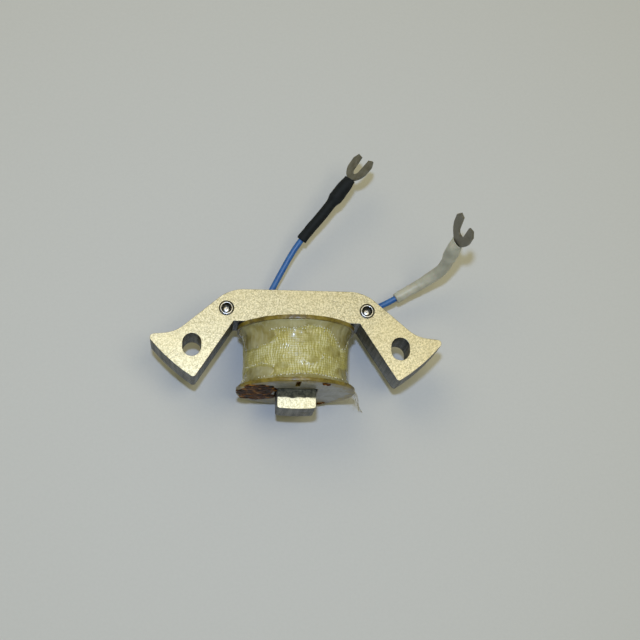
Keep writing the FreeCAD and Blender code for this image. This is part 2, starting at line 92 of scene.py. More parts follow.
# ------------------------------------------------------------------ node materials
class Surface:
    """A Principled material and short ways to wire nodes into it."""

    def __init__(self, name, **fixed):
        self.material = bpy.data.materials.new(name)
        self.material.use_nodes = True
        self.tree = self.material.node_tree
        self.shader = self.tree.nodes["Principled BSDF"]
        self.place = self.node("ShaderNodeTexCoord").outputs["Object"]
        for socket, value in fixed.items():
            self.shader.inputs[socket.replace("_", " ")].default_value = value

    def node(self, kind, inputs=None, **settings):
        made = self.tree.nodes.new(kind)
        for key, value in settings.items():
            setattr(made, key, value)
        for socket, value in (inputs or {}).items():
            self.feed(made.inputs[socket], value)
        return made

    def feed(self, socket, value):
        if isinstance(value, bpy.types.NodeSocket):
            self.tree.links.new(value, socket)
        else:
            socket.default_value = value

    def set(self, socket, value):
        self.feed(self.shader.inputs[socket], value)

    def stretched(self, scale, source=None):
        made = self.node("ShaderNodeMapping", {"Vector": source or self.place, "Scale": scale})
        return made.outputs["Vector"]

    def noise(self, scale, detail=3.0, rough=0.5, source=None, warp=0.0):
        made = self.node("ShaderNodeTexNoise", {"Vector": source or self.place, "Scale": scale,
                                                "Detail": detail, "Roughness": rough,
                                                "Distortion": warp})
        return made.outputs["Fac"]

    def math(self, operation, first, second=0.0, clamp=False):
        made = self.node("ShaderNodeMath", {0: first, 1: second}, operation=operation, use_clamp=clamp)
        return made.outputs[0]

    def between(self, value, start, end, out_start=0.0, out_end=1.0):
        made = self.node("ShaderNodeMapRange", {"Value": value, "From Min": start, "From Max": end,
                                                "To Min": out_start, "To Max": out_end},
                         interpolation_type="SMOOTHSTEP")
        return made.outputs["Result"]

    def mix(self, factor, first, second, blend="MIX"):
        made = self.node("ShaderNodeMix", data_type="RGBA", blend_type=blend)
        self.feed(made.inputs["Factor"], factor)
        self.feed(made.inputs[6], first)
        self.feed(made.inputs[7], second)
        return made.outputs[2]

    def bump(self, height, strength, distance, normal=None):
        inputs = {"Height": height, "Strength": strength, "Distance": distance}
        if normal is not None:
            inputs["Normal"] = normal
        return self.node("ShaderNodeBump", inputs).outputs["Normal"]

    def axis(self, name, source=None):
        return self.node("ShaderNodeSeparateXYZ", {"Vector": source or self.place}).outputs[name]


# ------------------------------------------------------------------ mesh helpers
def link(obj, material, *nodes, smooth=True):
    scene.collection.objects.link(obj)
    obj.data.materials.clear()
    obj.data.materials.append(material)
    if smooth:
        for face in obj.data.polygons:
            face.use_smooth = True
    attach(obj, BODY)
    if nodes:
        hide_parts(*nodes)
    return obj


def mesh_object(name, points, faces):
    mesh = bpy.data.meshes.new(name)
    mesh.from_pydata([tuple(p) for p in points], [], faces)
    mesh.validate()
    mesh.update()
    return bpy.data.objects.new(name, mesh)


def grid_faces(rows, columns, wrap_rows=False, wrap_columns=False):
    """Quads over a rows x columns lattice of points."""
    faces = []
    for i in range(rows if wrap_rows else rows - 1):
        for j in range(columns if wrap_columns else columns - 1):
            k, m = (i + 1) % rows, (j + 1) % columns
            faces.append((i * columns + j, i * columns + m, k * columns + m, k * columns + j))
    return faces


def copy_of_node(node, name):
    """The CAD node's mesh as a new piece, welded so that its edges can be eased."""
    source = frame["nodes"][node]
    mesh = source.data.copy()
    mesh.transform(source.matrix_world)
    work = bmesh.new()
    work.from_mesh(mesh)
    bmesh.ops.remove_doubles(work, verts=work.verts, dist=1e-6)
    bmesh.ops.dissolve_limit(work, angle_limit=math.radians(0.5), verts=work.verts, edges=work.edges)
    work.to_mesh(mesh)
    work.free()
    mesh.name = name
    return bpy.data.objects.new(name, mesh)


def ease_edges(obj, width, angle=30, segments=2):
    bevel = obj.modifiers.new("ease", "BEVEL")
    bevel.width = width
    bevel.segments = segments
    bevel.limit_method = "ANGLE"
    bevel.angle_limit = math.radians(angle)
    bevel.harden_normals = False
    return obj


def lathe(name, profile, centre, segments=48):
    """Closed ring of revolution about +Z through centre; profile holds (radius, height) in mm."""
    points = []
    for radius, height in profile:
        for k in range(segments):
            turn = 2 * math.pi * k / segments
            points.append(centre + Vector((radius * math.cos(turn), radius * math.sin(turn), height)) * MM)
    return mesh_object(name, points, grid_faces(len(profile), segments, wrap_rows=True, wrap_columns=True))


def bumpy(point, scale, seed=0.0):
    """Smooth noise in -1..1 at a point in mm, with lumps about one scale across."""
    return noise.noise(Vector(point) / scale + Vector((seed, seed * 1.7, -seed)))


def remeshed(obj, voxel):
    """The object's voxel remesh as a plain mesh."""
    remesh = obj.modifiers.new("remesh", "REMESH")
    remesh.mode = "VOXEL"
    remesh.voxel_size = voxel
    scene.collection.objects.link(obj)
    bpy.context.view_layer.update()
    evaluated = obj.evaluated_get(bpy.context.evaluated_depsgraph_get())
    mesh = bpy.data.meshes.new_from_object(evaluated)
    scene.collection.objects.unlink(obj)
    obj.modifiers.clear()
    obj.data = mesh
    return obj


def displace(obj, amount):
    """Moves each vertex along its normal by amount(point in mm), which is in mm."""
    mesh = obj.data
    normals = [vertex.normal.copy() for vertex in mesh.vertices]
    for vertex, normal in zip(mesh.vertices, normals):
        vertex.co += normal * amount(vertex.co / MM) * MM
    mesh.update()
    return obj


def smoothstep(start, end, value):
    share = min(max((value - start) / (end - start), 0.0), 1.0)
    return share * share * (3 - 2 * share)


# ------------------------------------------------------------------ core
def mark(surface, start, end, width):
    """Mask of one thin scratch between two points of the top face, in metres."""
    (x0, y0), (x1, y1) = start, end
    along = math.atan2(y1 - y0, x1 - x0)
    placed = surface.node("ShaderNodeMapping", {
        "Vector": surface.place, "Location": ((x0 + x1) / 2, (y0 + y1) / 2, 0),
        "Rotation": (0, 0, along)}, vector_type="TEXTURE").outputs["Vector"]
    half = math.hypot(x1 - x0, y1 - y0) / 2
    across = surface.math("ABSOLUTE", surface.axis("Y", placed))
    lengthwise = surface.math("ABSOLUTE", surface.axis("X", placed))
    line = surface.between(across, width, width * 0.3)
    return surface.math("MULTIPLY", line, surface.between(lengthwise, half, half * 0.7))


SCRATCHES = [((-48.0, -5.6), (-42.6, -1.4)), ((-46.6, -6.4), (-42.0, -3.4)), ((-36.4, -8.3), (-35.2, -7.6)),
             ((0.6, 11.2), (1.2, 13.6)), ((26.0, 8.4), (26.6, 9.6)), ((35.0, 3.4), (36.2, 4.1)),
             ((-20.4, 16.2), (-19.2, 16.9)), ((12.8, 17.3), (14.2, 17.0))]


def core_material():
    """Champagne-coloured plated steel on the flat faces, dark sheared steel on the edges, and painted shade
    on the pole top beside the front flange.
    """
    steel = Surface("core_steel", Metallic=0.9)
    speckle = steel.noise(1900, detail=4, rough=0.75)
    grain = steel.noise(900, detail=3, rough=0.6)
    cloud = steel.noise(60, detail=3)
    plated = steel.mix(steel.between(speckle, 0.36, 0.64), (0.31, 0.28, 0.165, 1), (0.71, 0.645, 0.425, 1))
    plated = steel.mix(steel.between(grain, 0.35, 0.7, 0.0, 0.22), plated, (0.66, 0.61, 0.43, 1))
    plated = steel.mix(steel.between(cloud, 0.40, 0.7, 0, 0.25), plated, (0.60, 0.52, 0.28, 1))
    scratched = 0.0
    for start, end in SCRATCHES:
        one = mark(steel, [c * MM for c in start], [c * MM for c in end], 0.13 * MM)
        scratched = steel.math("MAXIMUM", scratched, one)
    plated = steel.mix(steel.math("MULTIPLY", scratched, 0.7), plated, (0.09, 0.085, 0.07, 1))
    # The pole top beside the front flange is painted near-black in a ragged band: painted shade from the
    # flange.
    ragged = steel.math("ADD", steel.axis("Y"), steel.math("MULTIPLY", steel.noise(420, detail=4), 1.6 * MM))
    on_leg = steel.between(steel.math("ABSOLUTE", steel.axis("X")), 8.2 * MM, 7.4 * MM)
    on_pole = steel.math("MULTIPLY", on_leg, steel.between(steel.axis("Y"), -10 * MM, -12 * MM))
    flange_shade_mask = steel.math("MULTIPLY", on_pole, steel.between(ragged, -18.1 * MM, -17.6 * MM))
    painted_flange_shade = steel.mix(steel.between(grain, 0.35, 0.65), (0.012, 0.012, 0.007, 1), (0.050, 0.047, 0.028, 1))
    plated = steel.mix(flange_shade_mask, plated, painted_flange_shade)
    streaks = steel.noise(900, detail=4, source=steel.stretched((1, 1, 0.05)))
    stain = steel.noise(160, detail=3)
    sheared = steel.mix(steel.between(streaks, 0.3, 0.75), (0.065, 0.068, 0.070, 1), (0.25, 0.25, 0.235, 1))
    sheared = steel.mix(steel.between(stain, 0.52, 0.72, 0, 0.5), sheared, (0.09, 0.07, 0.045, 1))
    facing = steel.node("ShaderNodeNewGeometry").outputs["Normal"]
    upright = steel.math("ABSOLUTE", steel.axis("Z", facing))
    flat = steel.between(upright, 0.90, 0.985)
    steel.set("Base Color", steel.mix(flat, sheared, plated))
    steel.set("Roughness", steel.between(grain, 0.25, 0.75, 0.35, 0.41))
    pits = steel.bump(speckle, 0.45, 0.035 * MM)
    steel.set("Normal", steel.bump(steel.math("SUBTRACT", 1.0, scratched), 0.5, 0.03 * MM, pits))
    return steel.material


def build_core():
    """Copies of the laminations with eased edges, stacked a hair unevenly."""
    material = core_material()
    jitter = random.Random(7)
    for node in LAMINATIONS:
        sheet = copy_of_node(node, node.replace("lamination", "core_sheet"))
        outermost = node in (LAMINATIONS[0], LAMINATIONS[-1])
        sheet.data.transform(Matrix.Translation((jitter.uniform(-0.04, 0.04) * MM,
                                                 jitter.uniform(-0.04, 0.04) * MM, 0)))
        ease_edges(sheet, (0.40 if outermost else 0.08) * MM, segments=3 if outermost else 2)
        link(sheet, material, node, smooth=False)


# ------------------------------------------------------------------ rivets
RIVET_RIM = 2.8                               # radius of the rolled rim, in mm
RIVET_CREST = 2.08


def rivet_material(centre):
    """Dark steel, worn bright on the rim's crest, with a painted highlight on the domed bottom of the bore.
    """
    steel = Surface("rivet_steel", Metallic=1.0, Roughness=0.34)
    wear = steel.noise(900, detail=4)
    x = steel.math("SUBTRACT", steel.math("ABSOLUTE", steel.axis("X")), abs(centre.x))
    y = steel.math("SUBTRACT", steel.axis("Y"), centre.y)
    radius = steel.math("SQRT", steel.math("ADD", steel.math("MULTIPLY", x, x), steel.math("MULTIPLY", y, y)))
    radius = steel.math("ADD", radius, steel.math("MULTIPLY", steel.math("SUBTRACT", wear, 0.5), 0.3 * MM))
    off_crest = steel.math("ABSOLUTE", steel.math("SUBTRACT", radius, RIVET_CREST * MM))
    worn = steel.between(off_crest, 0.24 * MM, 0.10 * MM)
    # The domed bottom of the bore is painted pale: a painted highlight.
    bottom = steel.between(radius, 1.00 * MM, 0.70 * MM)
    dark = steel.mix(steel.between(wear, 0.3, 0.7), (0.040, 0.040, 0.032, 1), (0.13, 0.125, 0.10, 1))
    bright = steel.mix(worn, dark, (0.62, 0.60, 0.54, 1))
    steel.set("Base Color", steel.mix(bottom, bright, (0.55, 0.54, 0.50, 1)))
    steel.set("Normal", steel.bump(wear, 0.3, 0.04 * MM))
    return steel.material


def build_rivets():
    """Tubular rivets: a rolled rim above, a bore with a domed bottom, and a low round head below."""
    material = None
    for side in ("left", "right"):
        node = "rivet_" + side
        centre = Vector(((low(node).x + high(node).x) / 2, (low(node).y + high(node).y) / 2, 0))
        material = material or rivet_material(centre)
        top = STACK_TOP / MM
        crown = high(node).z / MM
        head = (high(node).x - low(node).x) / 2 / MM
        shank = head - 1.02
        dome = [(0.05 + 1.25 * k / 5, top - 1.50 - 0.17 * (k / 5) ** 2) for k in range(6)]
        profile = dome + [
            (1.40, top - 1.85), (1.44, top - 1.0), (1.50, top - 0.42), (1.62, top - 0.30), (1.70, top - 0.05),
            (1.86, crown - 0.06), (RIVET_CREST, crown), (2.30, crown - 0.08), (2.44, crown - 0.22),
            (2.52, top + 0.03), (2.66, top + 0.06), (RIVET_RIM, top + 0.01), (shank, top - 0.02),
            (shank, 0.0), (head, -0.02), (head, -0.30),
            (head - 0.5, low(node).z / MM), (0.05, low(node).z / MM)]
        link(lathe("rivet_body_" + side, profile, centre), material, node)


# ------------------------------------------------------------------ coil
def board_material():
    """Laminated board that soaked up resin: yellow-brown at the rim, grey-white on the open face; the lower
    part of the front face is painted brown as shade.
    """
    board = Surface("flange_board", Roughness=0.38, Coat_Weight=0.25, Coat_Roughness=0.2)
    x = board.axis("X")
    z = board.math("SUBTRACT", board.axis("Z"), COIL_Z)
    radius = board.math("SQRT", board.math("ADD", board.math("MULTIPLY", x, x), board.math("MULTIPLY", z, z)))
    blotch = board.noise(210, detail=4, rough=0.6)
    fine = board.noise(1100, detail=4)
    soaked = board.mix(board.between(blotch, 0.3, 0.7), (0.105, 0.070, 0.008, 1), (0.30, 0.225, 0.030, 1))
    soaked = board.mix(board.between(fine, 0.5, 0.8, 0, 0.4), soaked, (0.40, 0.33, 0.10, 1))
    bare = board.mix(board.between(fine, 0.3, 0.7), (0.25, 0.25, 0.235, 1), (0.37, 0.37, 0.35, 1))
    bare = board.mix(board.between(blotch, 0.46, 0.62, 0, 0.6), bare, (0.20, 0.18, 0.09, 1))
    spread = board.math("ADD", radius, board.math("MULTIPLY", board.math("SUBTRACT", blotch, 0.5), 7 * MM))
    edge = board.between(spread, FLANGE_RADIUS - 3.2 * MM, FLANGE_RADIUS - 1.6 * MM)
    # The lower part of the front face is painted in the soaked rim's brown: painted shade, merged into the
    # rim mask below.
    below = board.between(board.math("ADD", z, board.math("MULTIPLY", x, 0.45)), -3 * MM, -11 * MM, 0.0, 0.9)
    edge = board.math("MAXIMUM", edge, below)
    facing = board.node("ShaderNodeNewGeometry").outputs["Normal"]
    front = board.between(board.math("MULTIPLY", board.axis("Y", facing), -1.0), 0.6, 0.85)
    open_face = board.math("MULTIPLY", front, board.math("SUBTRACT", 1.0, edge))
    board.set("Base Color", board.mix(open_face, soaked, bare))
    board.set("Normal", board.bump(fine, 0.35, 0.08 * MM, board.bump(blotch, 0.3, 0.3 * MM)))
    return board.material


def varnish_material():
    varnish = Surface("baked_varnish", Roughness=0.5, Specular_IOR_Level=0.07)
    lump = varnish.noise(520, detail=4, rough=0.6, source=varnish.stretched((0.7, 1, 1.2)))
    dark = varnish.mix(varnish.between(lump, 0.40, 0.56), (0.012, 0.006, 0.002, 1), (0.100, 0.032, 0.005, 1))
    # Orange on the highest parts of the lumps is partly the varnish's own colour and partly painted
    # highlight.
    varnish.set("Base Color", varnish.mix(varnish.between(lump, 0.54, 0.68), dark, (0.52, 0.23, 0.030, 1)))
    varnish.set("Normal", varnish.bump(lump, 0.5, 0.2 * MM))
    return varnish.material


def build_flange(node, name, material, seed):
    """A copy of the flange with soft edges and the slight swell of soaked board."""
    piece = remeshed(copy_of_node(node, name), 0.28 * MM)

    def swell(point):
        return 0.10 * bumpy(point, 2.6, seed) + 0.05 * bumpy(point, 0.9, seed)
    link(displace(piece, swell), material, node)


# Drips of varnish near the flange's rim: angle in degrees from +X towards +Z, and radius in mm.
DRIPS = [(62, 19.6), (57, 19.2), (-54, 19.6), (-57, 19.8),
         (-60, 20.0), (-63, 20.2), (-67, 20.4), (-71, 20.6)]


def build_varnish(material):
    """Brown varnish that ran down the front flange, thick on the left and in a few drips elsewhere."""
    draw = random.Random(31)
    blobs = []
    for _ in range(130):
        turn = math.radians(draw.uniform(134, 220))
        reach = draw.uniform(9.8, 19.8)
        blobs.append((reach * math.cos(turn), reach * math.sin(turn),
                      draw.uniform(1.2, 3.0), draw.uniform(0.2, 0.5)))
    for turn, reach in DRIPS:
        turn = math.radians(turn)
        blobs.append((reach * math.cos(turn), reach * math.sin(turn),
                      draw.uniform(0.7, 1.1), draw.uniform(0.4, 0.8)))
    work = bmesh.new()
    leg_half = 9.0
    for x, z, size, thick in blobs:
        if abs(x) < leg_half and abs(z) < leg_half:
            continue
        place = Matrix.Translation((x * MM, FRONT_FACE_Y + 0.05 * MM, COIL_Z + z * MM))
        shape = Matrix.Diagonal((size * MM, thick * MM, size * draw.uniform(0.6, 1.2) * MM, 1))
        bmesh.ops.create_icosphere(work, subdivisions=2, radius=1.0, matrix=place @ shape)
    mesh = bpy.data.meshes.new("varnish_run")
    work.to_mesh(mesh)
    work.free()
    piece = remeshed(bpy.data.objects.new("varnish_run", mesh), 0.16 * MM)
    displace(piece, lambda point: 0.16 * bumpy(point, 0.9, 3.0))
    link(piece, material)


RIBS = 118                                    # glass yarns round the coil
COLUMNS_PER_RIB = 6
EDGE_RADIUS = (high("tape_wrap").z - COIL_Z) / MM
WAIST_RADIUS = EDGE_RADIUS - 2.0
FLARE = 4.6
WRAP_FRONT = low("tape_wrap").y / MM
WRAP_BACK = high("tape_wrap").y / MM
# Places where the resin pooled over the cloth: angle and half-angle in degrees, y and half-length in mm.
POOLS = [(-57, 31, 1.9, 4.1), (-52, 28, -11.2, 2.5), (64, 20, -11.0, 2.6), (150, 30, 1.0, 6.0),
         (-140, 22, -8.0, 4.0), (112, 18, 3.0, 3.0), (-170, 16, -2.0, 3.0), (84, 10, 5.0, 2.0)]
# Places where the weave is filled but still shows a little.
FILLED = [(6, 16, 0.9, 2.4), (-18, 8, -9.6, 1.7), (16, 7, -7.2, 1.5), (-8, 26, 3.6, 1.2), (40, 14, -3.4, 2.2),
          (-30, 12, -12.3, 1.0), (120, 20, -6.0, 3.0), (-110, 18, -2.0, 4.0)]
# Lines in degrees and mm where the tape's inner turn shows through as a row of loops on a low ridge.
TUCKS = [[(-72, -7.9), (-61, -8.3), (-42, -7.8), (-29, -9.3), (-24, -11.0)],
         [(6, -7.8), (12, -9.0), (21, -8.0), (26, -6.0), (24, -4.8)],
         [(-47, -1.8), (-30, -0.9), (-22, 0.6)],
         [(150, -2.0), (165, -6.0), (185, -5.0)],
         [(100, -4.0), (112, -7.0), (125, -6.5)]]


def wrap_profile(y):
    """Radius of the taped coil at y, in mm: waisted, flared up against both flanges."""
    near = min(y - WRAP_FRONT, WRAP_BACK - y)
    rise = max(0.0, 1 - near / FLARE)
    return WAIST_RADIUS + (EDGE_RADIUS - WAIST_RADIUS - 0.25) * rise ** 2.2


def on_coil(turn, y, radius):
    return Vector((radius * math.sin(turn), y, COIL_Z / MM + radius * math.cos(turn)))


def tuck_distance(turn, y):
    """Distance in mm to the nearest tuck."""
    here = Vector((math.degrees(turn) % 360, y))
    nearest = 99.0
    for line in TUCKS:
        for (a0, y0), (a1, y1) in zip(line, line[1:]):
            apart = (here.x - a0 + 180) % 360 - 180
            if abs(apart) > 25 or abs(y - y0) > 6:
                continue
            along = Vector((math.radians(a1 - a0) * WAIST_RADIUS, y1 - y0))
            reach = Vector((math.radians(apart) * WAIST_RADIUS, y - y0))
            share = min(max(reach.dot(along) / along.length_squared, 0.0), 1.0)
            nearest = min(nearest, (reach - along * share).length)
    return nearest


def pucker(turn, y):
    """Soft creases of the hand-wound tape, in mm."""
    spot = on_coil(turn, y, WAIST_RADIUS)
    ridge = 0.20 * math.exp(-(tuck_distance(turn, y) / 0.6) ** 2)
    return 0.42 * bumpy(spot, 6.5, 1.0) + 0.20 * bumpy(spot, 2.2, 5.0) + ridge


def patch_level(turn, y, patches, fringe, seed):
    """Above zero inside the nearest of the oval patches, which have a ragged edge."""
    degrees = math.degrees(turn)
    most = -1.0
    for angle, wide, middle, half in patches:
        apart = (degrees - angle + 180) % 360 - 180
        most = max(most, 1 - (apart / wide) ** 2 - ((y - middle) / half) ** 2)
    return most + fringe * bumpy(on_coil(turn, y, WAIST_RADIUS), 2.4, seed)


def pooled(turn, y):
    """How far the resin covers the cloth, 0 to 1."""
    return smoothstep(0.0, 0.22, patch_level(turn, y, POOLS, 0.32, 9.0))


def filled(turn, y):
    """How far resin hides the yarns, 0 to 1."""
    spot = on_coil(turn, y, WAIST_RADIUS)
    blotches = 0.16 + 0.75 * bumpy(spot, 3.6, 51.0) + 0.40 * bumpy(spot, 1.3, 53.0)
    patches = smoothstep(-0.5, 0.5, patch_level(turn, y, FILLED, 0.5, 57.0))
    shore = smoothstep(-0.55, 0.05, patch_level(turn, y, POOLS, 0.32, 9.0))
    return min(max(blotches, 0.85 * patches, shore, 0.0), 1.0)


def front_edge(turn):
    spot = on_coil(turn, 0, WAIST_RADIUS)
    return WRAP_FRONT + 1.15 + 0.25 * math.sin(3 * turn + 1.2) + 0.45 * bumpy(spot, 5.0, 12.0)


def rear_edge(turn):
    spot = on_coil(turn, 0, WAIST_RADIUS)
    dip = 5.0 * math.exp(-((math.degrees(turn) - 58) / 15) ** 2)
    return WRAP_BACK - 2.4 - dip + 0.4 * math.sin(4 * turn) + 0.7 * bumpy(spot, 5.0, 15.0)


def cloth_material():
    """Varnished glass cloth: pale yarns over a yellow-olive ground, both drowned where resin fills them, with
    painted glints.
    """
    cloth = Surface("glass_tape", Roughness=0.38, Coat_Weight=0.45, Coat_Roughness=0.18)
    crest = cloth.node("ShaderNodeAttribute", attribute_name="crest").outputs["Fac"]
    resin = cloth.node("ShaderNodeAttribute", attribute_name="filled").outputs["Fac"]
    weft = cloth.math("SINE", cloth.math("MULTIPLY", cloth.axis("Y"), 2 * math.pi / (0.85 * MM)))
    glint = cloth.noise(1500, detail=2, rough=0.8, source=cloth.stretched((1, 0.5, 1)))
    stain = cloth.noise(150, detail=3, rough=0.6)
    wash = cloth.noise(420, detail=3, rough=0.6)
    ground = cloth.mix(cloth.between(stain, 0.32, 0.68), (0.34, 0.29, 0.050, 1), (0.46, 0.42, 0.12, 1))
    pale = cloth.mix(cloth.between(stain, 0.35, 0.7), (0.72, 0.68, 0.28, 1), (0.84, 0.82, 0.54, 1))
    colour = cloth.mix(cloth.math("ADD", crest, cloth.math("MULTIPLY", weft, 0.12), clamp=True), ground, pale)
    # White specks from the glint noise are painted glints; the same noise also roughens the bump.
    colour = cloth.mix(cloth.between(glint, 0.56, 0.78, 0, 0.8), colour, (0.86, 0.86, 0.76, 1))
    drowned = cloth.mix(cloth.between(wash, 0.3, 0.7), (0.30, 0.255, 0.055, 1), (0.46, 0.42, 0.15, 1))
    cloth.set("Base Color", cloth.mix(cloth.between(resin, 0.15, 1.0, 0, 0.92), colour, drowned))
    cloth.set("Normal", cloth.bump(cloth.math("ADD", weft, glint), 0.25, 0.05 * MM))
    return cloth.material


def resin_material():
    resin = Surface("coil_resin", Roughness=0.25, Coat_Weight=0.7, Coat_Roughness=0.08)
    wash = resin.noise(120, detail=3, rough=0.55, warp=0.4)
    fibre = resin.noise(900, detail=3, source=resin.stretched((1, 0.25, 1)))
    colour = resin.mix(resin.between(wash, 0.3, 0.7), (0.255, 0.21, 0.048, 1), (0.45, 0.42, 0.22, 1))
    colour = resin.mix(resin.between(fibre, 0.45, 0.8, 0, 0.5), colour, (0.56, 0.54, 0.36, 1))
    resin.set("Base Color", colour)
    resin.set("Normal", resin.bump(fibre, 0.15, 0.06 * MM, resin.bump(wash, 0.3, 0.5 * MM)))
    return resin.material


def build_wrap():
    """The cured resin body of the taped coil, and the ribbed cloth that shows above it."""
    turns, rows = 360, 84
    points = []
    for i in range(rows):
        y = WRAP_FRONT + (WRAP_BACK - WRAP_FRONT) * i / (rows - 1)
        for j in range(turns):
            turn = 2 * math.pi * j / turns
            inside = smoothstep(-0.2, 0.7, y - front_edge(turn)) * smoothstep(-0.2, 0.7, rear_edge(turn) - y)
            sunk = -0.30 * inside * (1 - pooled(turn, y))
            film = 0.05 * bumpy(on_coil(turn, y, WAIST_RADIUS), 1.5, 21.0)
            radius = wrap_profile(y) + pucker(turn, y) + 0.16 + sunk + film
            points.append(on_coil(turn, y, radius) * MM)
    faces = grid_faces(rows, turns, wrap_columns=True)
    inner_start = len(points)
    core_radius = WAIST_RADIUS - 1.0
    for y in (WRAP_FRONT, WRAP_BACK):
        points += [on_coil(2 * math.pi * j / turns, y, core_radius) * MM for j in range(turns)]
    last_row = (rows - 1) * turns
    for j in range(turns):
        k = (j + 1) % turns
        faces.append((inner_start + j, inner_start + k, k, j))
        faces.append((last_row + j, last_row + k, inner_start + turns + k, inner_start + turns + j))
        faces.append((inner_start + turns + j, inner_start + turns + k, inner_start + k, inner_start + j))
    link(mesh_object("coil_resin", points, faces), resin_material(), "tape_wrap")

    build_cloth()


def build_cloth():
    columns, rows = RIBS * COLUMNS_PER_RIB, 70
    outer, inner, crests, fills = [], [], [], []
    for i in range(rows):
        share = i / (rows - 1)
        for j in range(columns):
            straight = 2 * math.pi * j / columns
            y = front_edge(straight) + (rear_edge(straight) - front_edge(straight)) * share
            spot = on_coil(straight, y, WAIST_RADIUS)
            turn = straight + 0.050 * bumpy(spot, 5.0, 41.0) + 0.022 * bumpy(spot, 1.9, 43.0)
            yarn = 0.5 + 0.5 * math.cos(RIBS * straight)
            over = 0.5 + 0.5 * math.cos(2 * math.pi * y / 0.85 + math.pi * (j // COLUMNS_PER_RIB)
                                        + 0.8 * bumpy(spot, 3.0, 30.0))
            crest = yarn * (0.60 + 0.40 * over) * (0.75 + 0.5 * bumpy(spot, 0.8, 35.0))
            fill = filled(turn, y)
            height = 0.02 + 0.13 * crest * (1 - 0.85 * fill)
            radius = wrap_profile(y) + pucker(turn, y) + height
            outer.append(on_coil(turn, y, radius) * MM)
            inner.append(on_coil(turn, y, radius - height - 0.25) * MM)
            crests.append(crest)
            fills.append(fill)
    faces = grid_faces(rows, columns, wrap_columns=True)
    count = len(outer)
    last_row = (rows - 1) * columns
    for j in range(columns):
        k = (j + 1) % columns
        faces.append((count + j, count + k, k, j))
        faces.append((last_row + j, last_row + k, count + last_row + k, count + last_row + j))
    piece = mesh_object("glass_cloth", outer + inner, faces)
    for name, values in (("crest", crests), ("filled", fills)):
        layer = piece.data.attributes.new(name, "FLOAT", "POINT")
        layer.data.foreach_set("value", values + values)
    link(piece, cloth_material(), "tape_wrap")


def selvedge_material():
    thread = Surface("glass_thread", Roughness=0.3, Coat_Weight=0.5, Coat_Roughness=0.15)
    shade = thread.noise(500, detail=3, rough=0.7)
    thread.set("Base Color", thread.mix(thread.between(shade, 0.35, 0.65), (0.42, 0.40, 0.22, 1),
                                        (0.82, 0.82, 0.70, 1)))
    thread.set("Normal", thread.bump(shade, 0.4, 0.1 * MM))
    return thread.material


def build_selvedges():
    """Thread loops along both edges of the tape, a thinner row beside them, and one along each tuck."""
    draw = random.Random(5)
    spots = []
    for edge, way in ((front_edge, 1), (rear_edge, -1)):
        for k in range(RIBS):
            for offset, size, kept in ((0.0, 0.38, 0.92), (0.95, 0.26, 0.6)):
                turn = 2 * math.pi * (k + draw.uniform(-0.2, 0.2)) / RIBS
                y = edge(turn) + way * offset + draw.uniform(-0.2, 0.2)
                if pooled(turn, y) < 0.6 and draw.random() < kept:
                    spots.append((turn, y, size * draw.uniform(0.6, 1.1)))
    for line in TUCKS:
        for (a0, y0), (a1, y1) in zip(line, line[1:]):
            steps = max(1, round(math.hypot(math.radians(a1 - a0) * WAIST_RADIUS, y1 - y0) / 0.8))
            for k in range(steps):
                share = (k + draw.uniform(-0.2, 0.2)) / steps
                if draw.random() < 0.8:
                    spots.append((math.radians(a0 + (a1 - a0) * share), y0 + (y1 - y0) * share
                                  + draw.uniform(-0.12, 0.12), draw.uniform(0.16, 0.30)))
    work = bmesh.new()
    for turn, y, size in spots:
        spot = on_coil(turn, y, wrap_profile(y) + pucker(turn, y) + 0.10)
        place = Matrix.Translation(spot * MM) @ Matrix.Rotation(turn, 4, "Y")
        lean = Matrix.Rotation(draw.uniform(-0.7, 0.7), 4, "Z")
        shape = Matrix.Diagonal((size * 0.7 * MM, size * draw.uniform(0.9, 1.5) * MM, size * 0.5 * MM, 1))
        bmesh.ops.create_uvsphere(work, u_segments=10, v_segments=6, radius=1.0, matrix=place @ lean @ shape)
    mesh = bpy.data.meshes.new("tape_selvedge")
    work.to_mesh(mesh)
    work.free()
    piece = bpy.data.objects.new("tape_selvedge", mesh)
    link(piece, selvedge_material())


# ------------------------------------------------------------------ leads
# The routes' points in mm, from under the tape to the terminal's barrel.
ROUTES = {
    "left": [(-14.9, 1.0, -2.3), (-16.2, 9.2, -3.9), (-13.0, 17.6, -5.2), (-8.8, 25.6, -5.7),
             (-4.6, 33.9, -4.9), (-0.1, 42.2, -3.2), (5.1, 49.0, -0.6), (10.3, 54.7, 1.7),
             (14.9, 60.7, 3.7)],
    "right": [(14.9, 1.0, -2.3), (16.7, 8.3, -3.6), (21.6, 15.0, -4.2), (28.3, 18.9, -4.1),
              (35.4, 22.1, -3.8), (41.5, 25.7, -3.2), (47.1, 28.8, -1.7), (52.0, 31.5, 1.3),
              (55.6, 33.2, 6.2), (56.6, 35.6, 12.8)],
}
LEAD_DIAMETER = 2.3 * MM
BARREL_LENGTH = 9.5
SLEEVE_RUN = {"left": 5, "right": 4}
SLEEVE_NODE = {"left": "heat_shrink_sleeve", "right": "marker_sleeve"}
FORK_WIDTH_DIRECTION = {"left": Vector((0.49, -0.57, 0.66)), "right": Vector((0.38, -0.89, 0.22))}


def nurbs(name, points, bevel):
    data = bpy.data.curves.new(name, "CURVE")
    data.dimensions = "3D"
    spline = data.splines.new("NURBS")
    spline.points.add(len(points) - 1)
    for point, (x, y, z) in zip(spline.points, points):
        point.co = (x * MM, y * MM, z * MM, 1)
    spline.order_u = 3
    spline.use_endpoint_u = True
    spline.resolution_u = 16
    data.bevel_depth = bevel
    data.bevel_resolution = 6
    data.use_fill_caps = bevel > 0
    return bpy.data.objects.new(name, data)


def route_points(side):
    """Points along the lead's smooth line, in mm."""
    thin = nurbs("path_" + side, ROUTES[side], 0)
    mesh = bpy.data.meshes.new_from_object(thin)
    points = [vertex.co / MM for vertex in mesh.vertices]
    bpy.data.objects.remove(thin)
    return points


